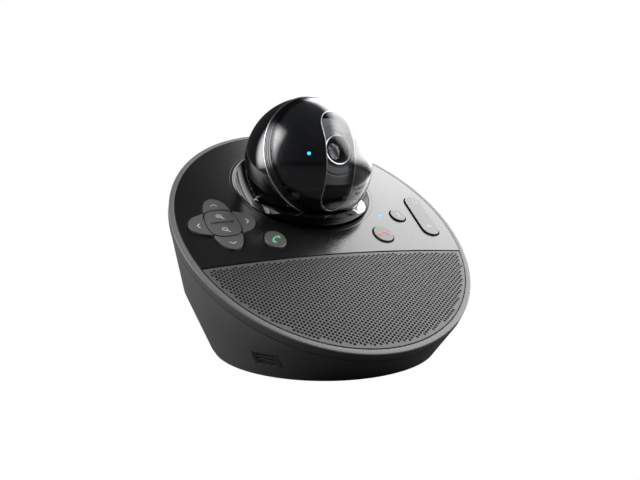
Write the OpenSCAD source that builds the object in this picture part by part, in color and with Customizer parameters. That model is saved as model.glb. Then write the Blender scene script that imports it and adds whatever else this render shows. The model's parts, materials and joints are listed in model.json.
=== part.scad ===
// Desktop conference camera: a ball-shaped camera head that pans and tilts, seated in a
// round speakerphone base with a sloping deck of keys and a perforated speaker grille.
// Millimetres, +Z up, the user sits at -Y. The origin is on the table, under the middle
// of the base. Base features are drawn on the sloping deck, head features about the
// ball's centre.

/* [Base] */
// Width of the base across its rim
base_w = 153; // [148:0.5:156]
// Depth of the rim, measured level
base_d = 148.8; // [146:0.2:151]
// Slope of the deck towards the user, in degrees
deck_tilt = 33; // [32:0.25:34]
// Height of the middle of the rim above the table
deck_mid_z = 63.9; // [63:0.1:66]
// Height of the satin rim ring, along the deck's normal
rim_h = 4.4; // [4:0.1:5]
// Width of the rim's visible band
rim_band = 2.65; // [2.2:0.05:3]
// Radius of the base's lower edge on the table
floor_r = 57; // [55:0.5:58]
// Wall thickness of the lower shell
wall = 2.4; // [2:0.1:2.8]

/* [Deck keys] */
// Travel of a push key
key_travel = 0.8; // [0.6:0.1:0.9]
// How far the keys stand above the deck
key_proud = 1.0; // [0.6:0.1:1.2]
// Gap between a key and its opening
key_gap = 0.6; // [0.5:0.05:0.7]
// Radius of the two call keys
call_key_r = 5.2; // [4.8:0.1:5.4]
// Radius of the mute key
mute_key_r = 4.2; // [3.8:0.1:4.4]
// Lean of the direction pad and the volume rocker towards their sides, in degrees
key_lean = 5; // [0:0.5:6]

/* [Speaker] */
// Pitch of the grille's holes
grille_pitch = 7; // [6.5:0.5:9]
// Radius of the grille's holes
grille_hole_r = 1.8; // [1.2:0.1:2]
// Radius of the speaker's frame
speaker_r = 25; // [22:0.5:26]

/* [Head] */
// Distance of the pan axis behind the middle of the rim
pan_back = 17; // [16.5:0.1:17.5]
// Height of the ball's centre above the table
ball_z = 94.2; // [94:0.1:95]
// Radius of the head's rear shell
shell_r = 34.4; // [34.2:0.1:34.5]
// Radius of the clear dome
dome_r = 34.8; // [34.7:0.05:34.9]
// Radius of the dish in the deck that the head sits in
dish_r = 41.5; // [41:0.1:42]
// Turn of the head about the pan axis as it stands, in degrees
head_turn = 6.2; // [-20:0.1:20]
// Upward slope of the dome's trim ring, in degrees
face_tilt = 11.5; // [10:0.5:13]
// Upward tilt of the lens as it stands, in degrees
lens_tilt = 10.6; // [-20:0.1:20]
// Half width of the window behind the dome
window_w = 8; // [7.8:0.1:8.6]
// Outer radius of the bright ring round the lens
lens_ring_r = 7.6; // [7.2:0.1:7.8]

/* [Hidden] */
$fn = 64;
eps = 0.05;
rim_y = -rim_h * sin(deck_tilt) / 2;
pan_y = rim_y + pan_back;
rim_a = base_w / 2;
rim_b = base_d / 2 / cos(deck_tilt);
deck_top = 0.1;
deck_t = 2;
deck_under = deck_top - deck_t;
seam_gap = 0.3;
shell_top = -rim_h - seam_gap;

// The grille's back edge is an arc that bows towards the head
arc_top_v = -26.9;
arc_r = 597;
arc_gap = 0.9;

// The dish meets the deck in a circle round the ball
ball_up = (ball_z - deck_mid_z) * cos(deck_tilt) - pan_back * sin(deck_tilt);
ball_v = pan_back * cos(deck_tilt) + (ball_z - deck_mid_z) * sin(deck_tilt);
dish_wall = 1.8;
dish_floor_z = 59.2;
deck_hole_r = sqrt(pow(dish_r + dish_wall, 2) - pow(ball_up - deck_top, 2)) + 0.2;

// Key layers, measured along the deck's normal
key_under = -1.6;
flange_top = deck_under - 0.3;
flange_t = 1.1;
stem_end = -6.2;
frame_top = -4.6;
frame_t = 1;
mat_top = -7.4;
mat_t = 0.6;
board_top = mat_top - mat_t;
board_t = 1.6;

// Key places on the deck: across, and up the slope
pad_at = [-52.5, -0.3];
call_at = [-30, -14.2];
hangup_at = [30, -14.2];
mute_at = [46.8, 1];
volume_at = [62.1, 0.2];
led_at = [35.7, 2];
pad_notch_r = 10.3;
pad_lobe = 6.2;
zoom_half = [8, 8.2];
volume_half = [4.9, 14.65];
petal_stem_r = 12.9;
pin_r = 0.8;
pin_n = -3;

speaker_v = -53;

// Lower parts of the head, as heights above the table
foot_r = 31;
foot_bulge_r = 40.6;
foot_cup_r = 35.8;
foot_rim_z = 74.3;
foot_rim_slope = 16;
post_r = 6;
foot_deck_z = 62.3;
bearing_t = 1.6;
plate_z = 64;
plate_t = 3;
gear_z = 68.2;
gear_t = 2.4;
post_top_z = 72;

trim_back = 12.7;
pan_gear_teeth = 36;
pan_pinion_teeth = 13;
pan_motor_y = 13.3;
tilt_gear_teeth = 32;
tilt_pinion_teeth = 10;
tilt_motor_y = 11;
tooth_tip = 0.38;
tooth_root = 0.55;
tooth_tip_half = 0.16;
tooth_root_half = 0.42;
pivot_r = 1.5;
carrier_r = 30.6;
carrier_half = 33;
mask_r = 31.6;
mask_t = 1.4;

post_pitch_r = 47;
ear_x = 4.2;

function ellipse(a, b, n = 120) = [for (i = [0:n - 1]) [a * cos(360 * i / n), b * sin(360 * i / n)]];

// A shape that is round seen from above is longer up the slope by this factor
function up_slope(pts) = [for (p = pts) [p[0], p[1] / cos(deck_tilt)]];

// Outline of the direction pad: four lobes with notches between them
function pad_outline(grow, n = 96) = [for (i = [0:n - 1])
    let (a = 360 * i / n, r = pad_notch_r + grow + pad_lobe * pow(abs(cos(2 * a)), 1.7))
    [r * cos(a), r * sin(a)]];

// Rounded square of half sizes h
function squircle(h, grow, n = 64) = [for (i = [0:n - 1]) let (a = 360 * i / n,
    k = pow(pow(abs(cos(a)), 3) + pow(abs(sin(a)), 3), -1 / 3))
    [(h[0] + grow) * k * cos(a), (h[1] + grow) * k * sin(a)]];

// Stub teeth with straight flanks, a tooth along +X; centres is the distance to the mating wheel
function gear_outline(teeth, mate, centres) = [
    for (i = [0:teeth - 1], c = [[-tooth_root, -tooth_root_half], [tooth_tip, -tooth_tip_half],
        [tooth_tip, tooth_tip_half], [-tooth_root, tooth_root_half]])
    let (r = centres * teeth / (teeth + mate) + c[0], a = 360 * i / teeth + c[1] / r * 180 / PI)
    [r * cos(a), r * sin(a)]];

module on_deck() translate([0, rim_y, deck_mid_z]) rotate([deck_tilt, 0, 0]) children();
module at_ball() translate([0, pan_y, ball_z]) rotate([0, 0, head_turn]) children();
// Facing out of the trim ring, and out of the lens: local Z is the way they look
module at_face() at_ball() rotate([90 - face_tilt, 0, 0]) children();
module at_lens() at_ball() rotate([90 - lens_tilt, 0, 0]) children();
module at_pan() translate([0, pan_y, 0]) rotate([0, 0, head_turn]) children();
module slab(top, thick) translate([0, 0, top - thick]) linear_extrude(thick) children();
module rim_outline(inset) polygon(ellipse(rim_a - inset, rim_b - inset));
module arc_disc(grow) translate([0, arc_top_v - arc_r]) circle(r = arc_r + grow, $fn = 400);
module at_pad() translate(pad_at) rotate(key_lean) children();
module at_volume() translate(volume_at) rotate(-key_lean) children();
module round_key(r) polygon(up_slope(ellipse(r, r, 48)));
module volume_outline(grow) polygon(up_slope(pill(volume_half, grow)));

function pill(h, grow, n = 32) = let (r = h[0] + grow, s = h[1] - h[0])
    [for (i = [0:2 * n - 1]) let (a = 180 * i / (n - 1) - (i < n ? 0 : 180 / (n - 1)))
    [r * cos(a), (i < n ? s : -s) + r * sin(a)]];

module lower_form(inset, open) hull() {
    on_deck() slab(shell_top + open + 0.5, 0.1 + open) polygon(ellipse(rim_a - 0.3 - inset, rim_b - 0.3 - inset, 72));
    translate([0, rim_y - 1.3, 31]) rotate([13, 0, 0])
        linear_extrude(0.2) polygon(ellipse(70.8 - inset, 72.7 - inset, 72));
    translate([0, rim_y - 3, 11.6]) cylinder(r = floor_r + 2.4 - inset, h = 0.1, $fn = 72);
    translate([0, rim_y - 3, 2.9]) cylinder(r = floor_r + 1.5 - inset, h = 0.1, $fn = 72);
    translate([0, rim_y - 3, 0.6 - open]) cylinder(r = floor_r - 2 * inset, h = 0.1, $fn = 72);
}

module around_posts() for (a = [45, 135, 225, 315]) translate([0, rim_y - 3, 0]) rotate([0, 0, a])
    translate([post_pitch_r, 0, 0]) children();

module at_vent() translate([-46.9, -47.3, 10.5]) rotate([0, 0, 219.2]) rotate([0, 122.7, 0]) children();

// Ports in the back wall, at one height, along Y
port_z = 22;
power_x = -24;
data_x = 0;
audio_x = 22;
lock_x = 44;
port_face_y = 54.5;
module along_y(x, z, y) translate([x, y, z]) rotate([-90, 0, 0]) children();

module lower_shell() color([0.17, 0.17, 0.18]) difference() {
    union() {
        difference() {
            lower_form(0, 0);
            lower_form(wall, 2);
        }
        around_posts() translate([0, 0, 4.2]) {
            cylinder(r = 3.4, h = 16);
            translate([0, -0.8, 0]) cube([10.4, 1.6, 7]);
        }
    }
    on_deck() translate([-100, -100, shell_top]) cube([200, 200, 40]);
    around_posts() translate([0, 0, 3]) cylinder(r = 1.05, h = 14);
    at_vent() cube([7.8, 12.8, 12], center = true);
    along_y(power_x, port_z, 50) cylinder(r = 4.2, h = 20);
    along_y(audio_x, port_z, 50) cylinder(r = 3.2, h = 20);
    translate([data_x - 6.2, 50, port_z - 3.2]) cube([12.4, 20, 6.4]);
    translate([lock_x - 3.5, 35, port_z - 1.5]) cube([7, 25, 3]);
}

module bottom_cover() color([0.1, 0.1, 0.1]) translate([0, rim_y - 3, 0]) difference() {
    translate([0, 0, 0.8]) cylinder(r = 53.8, h = 2.6, $fn = 120);
    for (a = [45, 135, 225, 315]) rotate([0, 0, a]) translate([post_pitch_r, 0, 0]) {
        cylinder(r = 1.3, h = 6);
        cylinder(r = 2.8, h = 2.2);
    }
    for (x = [-12:4:12]) translate([x - 0.8, -12, 0]) cube([1.6, 24, 5]);
}

module rubber_feet() color([0.08, 0.08, 0.08]) translate([0, rim_y - 3, 0])
    for (a = [0, 90, 180, 270]) rotate([0, 0, a]) translate([42, 0, 0]) cylinder(r = 6, h = 0.8);

module shell_screws() color("silver") around_posts() difference() {
    union() {
        translate([0, 0, 1]) cylinder(r = 2.5, h = 1.2);
        translate([0, 0, 2.2]) cylinder(r = 1, h = 12);
    }
    translate([-1.2, -0.25, 0.9]) cube([2.4, 0.5, 0.7]);
    translate([-0.25, -1.2, 0.9]) cube([0.5, 2.4, 0.7]);
}

module rim_ring() color([0.5, 0.5, 0.51]) on_deck() difference() {
    slab(0, rim_h) rim_outline(0);
    translate([0, 0, deck_under]) linear_extrude(rim_h) rim_outline(rim_band);
    slab(eps, 20) rim_outline(5.2);
}

module deck_panel() color([0.05, 0.05, 0.055]) on_deck() slab(deck_top, deck_t) difference() {
    rim_outline(rim_band + 0.1);
    arc_disc(arc_gap / 2);
    translate([0, ball_v]) circle(r = deck_hole_r, $fn = 96);
    at_pad() polygon(up_slope(pad_outline(key_gap)));
    translate(call_at) round_key(call_key_r + key_gap);
    translate(hangup_at) round_key(call_key_r + key_gap);
    translate(mute_at) round_key(mute_key_r + key_gap);
    at_volume() volume_outline(key_gap);
    translate(led_at) circle(r = 0.75);
}

module speaker_grille() color([0.45, 0.45, 0.46]) on_deck() slab(deck_top, 1.6) difference() {
    intersection() {
        rim_outline(rim_band + 0.4);
        arc_disc(-arc_gap / 2);
    }
    for (row = [-9:9], col = [-10:10]) {
        x = (col + (row % 2 == 0 ? 0 : 0.5)) * grille_pitch;
        v = speaker_v + row * grille_pitch * sqrt(3) / 2;
        inside = pow(x / (rim_a - 9), 2) + pow(v / (rim_b - 9), 2) < 1;
        if (inside && v < arc_top_v - 7) translate([x, v]) circle(r = grille_hole_r, $fn = 24);
    }
}

module at_speaker() on_deck() translate([0, speaker_v, 0]) children();

module speaker_frame() color([0.2, 0.2, 0.2]) at_speaker() rotate_extrude() polygon([
    [speaker_r, -4.2], [speaker_r, -5.4], [speaker_r - 3, -5.4], [13, -14.4], [11, -14.4], [11, -13.2],
    [12.4, -13.2], [speaker_r - 4.2, -4.9], [speaker_r - 4.2, -4.2]]);

module speaker_cone() color([0.12, 0.12, 0.12]) at_speaker() rotate_extrude() polygon([
    [speaker_r - 4.6, -3.4], [speaker_r - 2.6, -4.1], [speaker_r - 4.6, -4.1], [9, -11.6], [0, -9.4],
    [0, -8.8], [9, -10.6]]);

module speaker_magnet() color([0.55, 0.55, 0.56]) at_speaker() {
    slab(-14.5, 5) circle(r = 13);
    slab(-19.5, 1.6) circle(r = 11);
}

// The dish is a scoop about the ball's centre, with a level floor for the head's foot
module seat_dish() color([0.03, 0.03, 0.035]) difference() {
    intersection() {
        translate([0, pan_y, ball_z]) sphere(r = dish_r + dish_wall, $fn = 96);
        on_deck() translate([-60, -30, -70]) cube([120, 120, 70 + deck_top + 0.3]);
        translate([-60, pan_y - 60, dish_floor_z - 2]) cube([120, 120, 80]);
    }
    intersection() {
        translate([0, pan_y, ball_z]) sphere(r = dish_r, $fn = 96);
        translate([-60, pan_y - 60, dish_floor_z]) cube([120, 120, 80]);
    }
    translate([0, pan_y, dish_floor_z - 5]) cylinder(r = 5.6, h = 10);
}

module seat_socket() color([0.7, 0.6, 0.3]) translate([0, pan_y, 0]) difference() {
    translate([0, 0, dish_floor_z - 7]) cylinder(r = 5.4, h = 6.8);
    translate([-3.5, -1, dish_floor_z - 5]) cube([7, 2, 6]);
}

module main_board() color([0.06, 0.25, 0.12]) translate([-27, -24, 9]) cube([54, 50, 1.6]);

module port_board() color([0.06, 0.25, 0.12]) translate([-30, 34, port_z - 6]) cube([60, 13, 1.6]);

module power_jack() color([0.07, 0.07, 0.07]) {
    difference() {
        along_y(power_x, port_z, 43.5) cylinder(r = 4, h = 11);
        along_y(power_x, port_z, 45.5) cylinder(r = 2.8, h = 12);
    }
    along_y(power_x, port_z, 45.4) cylinder(r = 1, h = 8);
}

module data_socket() color([0.6, 0.6, 0.62]) difference() {
    translate([data_x - 6, 44, port_z - 3]) cube([12, 10.6, 6]);
    translate([data_x - 5.2, 46, port_z - 2.2]) cube([10.4, 12, 4.4]);
}

module audio_jack() color([0.07, 0.07, 0.07]) difference() {
    along_y(audio_x, port_z, 41) cylinder(r = 3, h = 14);
    along_y(audio_x, port_z, 42.5) cylinder(r = 1.8, h = 14);
}

module mic_vent() color([0.1, 0.1, 0.1]) at_vent() difference() {
    translate([0, 0, -0.9]) cube([7.4, 12.4, 1.2], center = true);
    for (x = [-2.3, 0, 2.3]) translate([x, 0, 0]) cube([1.1, 9.6, 4], center = true);
}

module mic_capsule() color("silver") at_vent() translate([0, 0, -4.2]) cylinder(r = 2.2, h = 2.4);

// Area under the deck that holds the key parts: beside and below the dish
module key_area() difference() {
    intersection() {
        rim_outline(7);
        translate([-80, -24.5]) square([160, 48]);
    }
    translate([0, ball_v]) circle(r = deck_hole_r + 1.6, $fn = 96);
}

module key_sites() {
    at_pad() for (a = [0, 90, 180, 270])
        translate([petal_stem_r * cos(a), petal_stem_r * sin(a) / cos(deck_tilt)]) children();
    for (p = [call_at, hangup_at, mute_at]) translate(p) children();
    at_pad() for (s = [-1, 1]) translate([0, s * 7]) children();
    at_volume() for (s = [-1, 1]) translate([0, s * 13]) children();
}

module pin_ears() {
    at_pad() translate([0, 0, frame_top - eps]) ear_pair();
    at_volume() translate([0, 0, frame_top - eps]) ear_pair();
}
module ear_pair() for (s = [-1, 1]) difference() {
    translate([s * (ear_x + 0.8) - 0.8, -1.8, 0]) cube([1.6, 3.6, 2.6 + eps]);
    translate([s * (ear_x + 0.8) - 2, 0, pin_n - frame_top + eps]) rotate([0, 90, 0]) cylinder(r = pin_r, h = 4);
}

module key_frame() color([0.13, 0.13, 0.13]) on_deck() {
    slab(frame_top, frame_t) difference() {
        key_area();
        key_sites() circle(r = 2.8);
    }
    pin_ears();
}

module key_mat() color([0.3, 0.3, 0.3]) on_deck() {
    slab(mat_top, mat_t) key_area();
    translate([0, 0, mat_top - eps]) linear_extrude(0.2 + eps) key_sites() circle(r = 2);
}

module key_board() color([0.06, 0.25, 0.12]) on_deck() slab(board_top, board_t) key_area();

module deck_light() color([0.3, 0.7, 0.9]) on_deck() translate([led_at[0], led_at[1], -4.4])
    cylinder(r = 0.7, h = 4.4 + deck_top);

module pin_across() translate([-ear_x - 1.6, 0, pin_n]) rotate([0, 90, 0])
    cylinder(r = pin_r, h = 2 * ear_x + 3.2);
module zoom_pin() color("silver") on_deck() at_pad() pin_across();
module volume_pin() color("silver") on_deck() at_volume() pin_across();

// One lobe of the direction pad: the pad's outline, less the rocker and the other lobes
module petal(a) color([0.4, 0.4, 0.41]) on_deck() at_pad() {
    slab(key_proud, key_proud - key_under) intersection() {
        difference() {
            polygon(up_slope(pad_outline(0)));
            polygon(up_slope(squircle(zoom_half, key_gap)));
        }
        polygon(up_slope([for (p = [[1.2 * key_gap, 0], [30, 29.2], [30, -29.2]])
            [p[0] * cos(a) - p[1] * sin(a), p[0] * sin(a) + p[1] * cos(a)]]));
    }
    translate([petal_stem_r * cos(a), petal_stem_r * sin(a) / cos(deck_tilt)])
        slab(key_under + eps, key_under + eps - stem_end) circle(r = 1.6);
}
module pad_right() petal(0);
module pad_up() petal(90);
module pad_left() petal(180);
module pad_down() petal(270);

module rocker_lug() difference() {
    translate([-3.6, -1.9, pin_n - 1.3]) cube([7.2, 3.8, key_under - pin_n + 1.3 + eps]);
    translate([-5, 0, pin_n]) rotate([0, 90, 0]) cylinder(r = pin_r + 0.06, h = 10);
}

module zoom_rocker() color([0.42, 0.42, 0.43]) on_deck() at_pad() {
    difference() {
        slab(key_proud, key_proud - key_under) polygon(up_slope(squircle(zoom_half, 0)));
        translate([-6, -0.9, key_proud - 0.5]) cube([12, 1.8, 2]);
    }
    rocker_lug();
    for (s = [-1, 1]) translate([0, s * 7]) slab(key_under + eps, key_under + eps - stem_end) circle(r = 1.6);
}

module volume_rocker() color([0.42, 0.42, 0.43]) on_deck() at_volume() {
    slab(key_proud, key_proud - key_under) volume_outline(0);
    rocker_lug();
    for (s = [-1, 1]) translate([0, s * 13]) slab(key_under + eps, key_under + eps - stem_end) circle(r = 1.6);
}

module push_key(at, r) on_deck() translate(at) {
    slab(key_proud, key_proud - flange_top + eps) round_key(r);
    slab(flange_top, flange_t) circle(r = r + 1.3);
    slab(flange_top - flange_t + eps, flange_top - flange_t + eps - stem_end) circle(r = 1.6);
}
module call_key() color([0.42, 0.42, 0.43]) push_key(call_at, call_key_r);
module hangup_key() color([0.42, 0.42, 0.43]) push_key(hangup_at, call_key_r);
module mute_key() color([0.42, 0.42, 0.43]) push_key(mute_at, mute_key_r);

// The foot stands in the dish and carries the post that the head turns on
module head_foot() color([0.04, 0.04, 0.045]) translate([0, pan_y, 0]) difference() {
    union() {
        difference() {
            intersection() {
                translate([0, 0, dish_floor_z]) cylinder(r = foot_r, h = foot_rim_z - dish_floor_z);
                translate([0, 0, ball_z]) sphere(r = foot_bulge_r, $fn = 96);
            }
            intersection() {
                translate([0, 0, ball_z]) sphere(r = foot_cup_r, $fn = 96);
                translate([-50, -50, foot_deck_z]) cube(100);
            }
            translate([0, 0, foot_rim_z]) rotate([foot_rim_slope, 0, 0]) translate([-50, -60, 0])
                cube([100, 60, 30]);
        }
        translate([0, 0, dish_floor_z]) cylinder(r = post_r, h = post_top_z - dish_floor_z);
    }
    translate([0, 0, dish_floor_z - 1]) cylinder(r = 3.6, h = 40);
}

module pan_bearing() color([0.85, 0.85, 0.8]) translate([0, pan_y, foot_deck_z]) difference() {
    cylinder(r = 13.4, h = bearing_t);
    translate([0, 0, -1]) cylinder(r = post_r, h = 4);
}

module pan_gear() color([0.85, 0.82, 0.7]) at_pan() translate([0, 0, gear_z]) linear_extrude(gear_t)
    difference() {
        polygon(gear_outline(pan_gear_teeth, pan_pinion_teeth, pan_motor_y));
        circle(r = post_r);
    }

module head_base() color([0.1, 0.1, 0.1]) at_pan() translate([0, 0, plate_z]) difference() {
    cylinder(r = 15.8, h = plate_t);
    translate([0, 0, -1]) cylinder(r = post_r + 0.06, h = 6);
}

module rear_shell() color([0.02, 0.02, 0.025]) difference() {
    at_ball() difference() {
        sphere(r = shell_r, $fn = 96);
        sphere(r = shell_r - 2.2, $fn = 96);
        translate([0, 0, -50]) cylinder(r = 16, h = 40);
    }
    at_face() translate([-50, -50, trim_back - 0.1]) cube(100);
}

function ball_ring(r, c) = sqrt(r * r - c * c);
module trim_ring() color([0.6, 0.6, 0.62]) at_face() rotate_extrude($fn = 96) polygon(concat(
    [for (c = [trim_back:0.88:trim_back + 4.4]) [ball_ring(dome_r + 0.05, c), c]],
    [for (i = [3:-1:0], e = [1, 0]) [rib_r(i) - 0.1 * e, trim_back + 1.1 * (i + e)]]));
function rib_r(i) = ball_ring(dome_r + 0.6, trim_back + 1.1 * i + 0.6);

module dome() color([0.8, 0.8, 0.85, 0.3]) at_face() difference() {
    sphere(r = dome_r, $fn = 96);
    sphere(r = dome_r - 1.5, $fn = 96);
    translate([-50, -50, trim_back - 100 + 0.1]) cube(100);
}

module window_mask() color([0.03, 0.03, 0.035]) difference() {
    at_face() difference() {
        sphere(r = mask_r + mask_t, $fn = 96);
        sphere(r = mask_r, $fn = 96);
        translate([-50, -50, trim_back - 100 + 0.1]) cube(100);
    }
    at_ball() rotate([90, 0, 0]) linear_extrude(50) {
        square([2 * window_w, 33], center = true);
        for (s = [-1, 1]) translate([0, s * 16.5]) circle(r = window_w);
    }
    at_status() cylinder(r = 1, h = 40);
}

module at_status() at_ball() rotate([0, 0, -29.2]) rotate([84, 0, 0]) children();
module status_light() color([0.3, 0.7, 0.9]) at_status() translate([0, 0, 30.95]) cylinder(r = 0.9, h = 1.9);

// Bracket across the head behind the lens: two ears hold the tilt pins
module tilt_frame() color([0.1, 0.1, 0.1]) at_ball() difference() {
    intersection() {
        sphere(r = 32.1, $fn = 96);
        union() {
            for (s = [-1, 1]) translate([s * 27.7 - 3.5, -5, -6]) cube([7, 20, 12]);
            translate([-31.2, tilt_motor_y + 3.8, -6]) cube([62.4, 2.4, 12]);
        }
    }
    translate([-40, 0, 0]) rotate([0, 90, 0]) cylinder(r = pivot_r, h = 80);
}

module tilt_pins() color("silver") at_ball() for (s = [-1, 1])
    translate([s * 24.4 - 2.7, 0, 0]) rotate([0, 90, 0]) cylinder(r = pivot_r, h = 5.4);

module head_board() color([0.06, 0.25, 0.12]) at_ball() translate([-16, 21.5, -14]) cube([32, 1.4, 28]);

module pan_motor() color([0.65, 0.65, 0.67]) at_pan() translate([0, pan_motor_y, 0]) {
    translate([0, 0, 72.5]) cylinder(r = 5, h = 10.5);
    translate([0, 0, gear_z + 0.4]) cylinder(r = 0.75, h = 4);
}

module motor_bracket() color([0.7, 0.7, 0.7]) at_pan() difference() {
    intersection() {
        translate([0, 0, ball_z]) sphere(r = 31.9, $fn = 96);
        union() {
            translate([-11, 8.6, 71.1]) cube([22, 11.5, 1.4]);
            for (s = [-1, 1]) translate([s * 9.5 - 1, 8.6, plate_z + plate_t]) cube([2, 4.5, 4.2]);
        }
    }
    translate([0, pan_motor_y, 60]) cylinder(r = 1.1, h = 20);
}

module pan_pinion() color([0.85, 0.82, 0.7]) at_pan() translate([0, pan_motor_y, gear_z])
    rotate(270 + 180 / pan_pinion_teeth) linear_extrude(gear_t) difference() {
        polygon(gear_outline(pan_pinion_teeth, pan_gear_teeth, pan_motor_y));
        circle(r = 0.8);
    }

module tilt_motor() color([0.65, 0.65, 0.67]) at_ball() translate([0, tilt_motor_y, 0]) rotate([0, 90, 0]) {
    translate([0, 0, -3]) cylinder(r = 3.6, h = 19.5);
    translate([0, 0, 16.4]) cylinder(r = 0.75, h = 4);
}

module tilt_pinion() color([0.85, 0.82, 0.7]) at_ball() translate([18.4, tilt_motor_y, 0])
    rotate([0, 90, 0]) rotate(270 + 180 / tilt_pinion_teeth) linear_extrude(2.4) difference() {
        polygon(gear_outline(tilt_pinion_teeth, tilt_gear_teeth, tilt_motor_y));
        circle(r = 0.8);
    }

// The carrier is the curved shield that shows in the window, on two arms that hang on the pins
module lens_carrier() color([0.3, 0.3, 0.31]) at_lens() difference() {
    union() {
        intersection() {
            difference() {
                sphere(r = carrier_r, $fn = 96);
                sphere(r = carrier_r - 1.4, $fn = 96);
            }
            translate([-22.5, 0, 0]) rotate([90, 0, 90]) linear_extrude(45)
                polygon([[0, 0], [50 * tan(carrier_half), 50], [-50 * tan(carrier_half), 50]]);
        }
        for (s = [-1, 1]) intersection() {
            sphere(r = carrier_r - 0.6, $fn = 96);
            translate([s * 22.4 - 0.8, 0, 0]) rotate([90, 0, 90]) linear_extrude(1.6) {
                circle(r = 4.5);
                polygon([[-4.5, 0], [4.5, 0], [9, 19], [9, 30], [-9, 30], [-9, 19]]);
            }
        }
        translate([0, 0, 9]) cylinder(r = 9, h = 12);
        translate([-22, -3, 18.6]) cube([44, 6, 2]);
    }
    cylinder(r = 6.56, h = 40);
    translate([0, 0, 24]) cylinder(r = 12.1, h = 20);
    translate([-40, 0, 0]) rotate([0, 90, 0]) cylinder(r = pivot_r + 0.06, h = 80);
}

module tilt_gear() color([0.85, 0.82, 0.7]) at_ball() translate([18.4, 0, 0]) rotate([0, 90, 0]) {
    linear_extrude(2.4) polygon(gear_outline(tilt_gear_teeth, tilt_pinion_teeth, tilt_motor_y));
    cylinder(r = 3.2, h = 3.2);
}

module lens_plate() color([0.2, 0.2, 0.21]) at_lens() translate([0, 0, 27.3]) difference() {
    cylinder(r = 12, h = 1.5);
    translate([0, 0, -1]) cylinder(r = 6.56, h = 4);
}

module lens_ring() color([0.75, 0.75, 0.77]) at_lens() translate([0, 0, 28.8]) rotate_extrude() polygon([
    [6.6, 0], [lens_ring_r, 0], [lens_ring_r, 0.9], [lens_ring_r - 0.4, 1.3], [7, 1.3], [6.6, 0.8]]);

module lens_barrel() color([0.05, 0.05, 0.05]) at_lens() rotate_extrude() polygon([
    [4.6, 9], [6.5, 9], [6.5, 29.2], [6.1, 29.2], [5.4, 26.4], [4.6, 26]]);

module front_lens() color([0.3, 0.3, 0.4, 0.5]) at_lens() intersection() {
    translate([0, 0, 14.2]) sphere(r = 13.4);
    translate([0, 0, 26]) cylinder(r = 4.5, h = 4);
}

module inner_lens() color([0.3, 0.3, 0.4, 0.5]) at_lens() intersection() {
    translate([0, 0, 14]) sphere(r = 7);
    translate([0, 0, 18.4]) cylinder(r = 4.5, h = 4);
}

module sensor_board() color([0.06, 0.25, 0.12]) at_lens() translate([-8, -8, 7.2]) cube([16, 16, 1.6]);

lower_shell();
bottom_cover();
rubber_feet();
shell_screws();
rim_ring();
deck_panel();
speaker_grille();
speaker_frame();
speaker_cone();
speaker_magnet();
seat_dish();
seat_socket();
main_board();
port_board();
power_jack();
data_socket();
audio_jack();
mic_vent();
mic_capsule();
key_frame();
key_mat();
key_board();
deck_light();
zoom_pin();
volume_pin();
pad_up();
pad_down();
pad_left();
pad_right();
zoom_rocker();
call_key();
hangup_key();
mute_key();
volume_rocker();
head_foot();
pan_bearing();
pan_gear();
head_base();
rear_shell();
trim_ring();
dome();
window_mask();
status_light();
tilt_frame();
tilt_pins();
head_board();
pan_motor();
motor_bracket();
pan_pinion();
tilt_motor();
tilt_pinion();
lens_carrier();
tilt_gear();
lens_plate();
lens_ring();
lens_barrel();
front_lens();
inner_lens();
sensor_board();
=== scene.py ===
import json
from math import acos, asin, atan2, cos, degrees, pi, radians, sin, sqrt

import bmesh
import bpy
from mathutils import Matrix, Vector


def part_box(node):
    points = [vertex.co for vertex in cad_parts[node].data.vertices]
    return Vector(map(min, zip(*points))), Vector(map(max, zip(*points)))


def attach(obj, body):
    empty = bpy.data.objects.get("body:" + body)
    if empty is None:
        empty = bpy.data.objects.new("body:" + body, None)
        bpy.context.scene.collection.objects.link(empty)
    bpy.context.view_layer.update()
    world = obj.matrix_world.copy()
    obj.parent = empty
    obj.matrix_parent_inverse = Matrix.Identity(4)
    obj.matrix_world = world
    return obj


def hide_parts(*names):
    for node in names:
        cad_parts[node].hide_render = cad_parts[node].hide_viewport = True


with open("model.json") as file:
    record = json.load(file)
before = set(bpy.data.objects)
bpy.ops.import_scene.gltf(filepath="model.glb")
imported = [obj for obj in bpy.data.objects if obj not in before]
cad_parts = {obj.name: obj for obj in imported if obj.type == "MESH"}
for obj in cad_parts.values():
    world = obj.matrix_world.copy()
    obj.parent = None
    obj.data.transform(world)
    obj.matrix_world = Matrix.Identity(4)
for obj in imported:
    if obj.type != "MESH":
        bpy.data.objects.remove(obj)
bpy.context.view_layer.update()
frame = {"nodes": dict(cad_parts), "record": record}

bl_info = {
    "name": "Desktop Conference Camera",
    "version": (1, 0, 0),
    "blender": (4, 5, 0),
    "location": "View3D > Sidebar > Camera",
    "description": "Builds a conference camera head on its sloping speakerphone base",
    "category": "Object",
}

MM = 0.001
MERGE = 1e-7
JOINTS = {j["name"]: j for j in frame["record"]["behaviour"]["joints"]}

# Where the CAD puts the ball, the way the head stands, and the deck
BALL = Vector(JOINTS["head_pan"]["pos_m"])
TILT_AXIS = Vector(JOINTS["head_tilt"]["axis"])
HEAD_TURN = atan2(-TILT_AXIS.y, -TILT_AXIS.x)
DECK_UP = -Vector(JOINTS["mute_key_press"]["axis"])
DECK_TILT = atan2(-DECK_UP.y, DECK_UP.z)
RING_LOW, RING_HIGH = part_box("rim_ring")
RIM_A = (RING_HIGH[0] - RING_LOW[0]) / 2
RIM_H = 4.4 * MM
RIM_B = (RING_HIGH[1] - RING_LOW[1] - RIM_H * sin(DECK_TILT)) / 2 / cos(DECK_TILT)
RIM_Y = RING_LOW[1] + RIM_B * cos(DECK_TILT)
RIM_Z = RING_HIGH[2] - RIM_B * sin(DECK_TILT)

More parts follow.
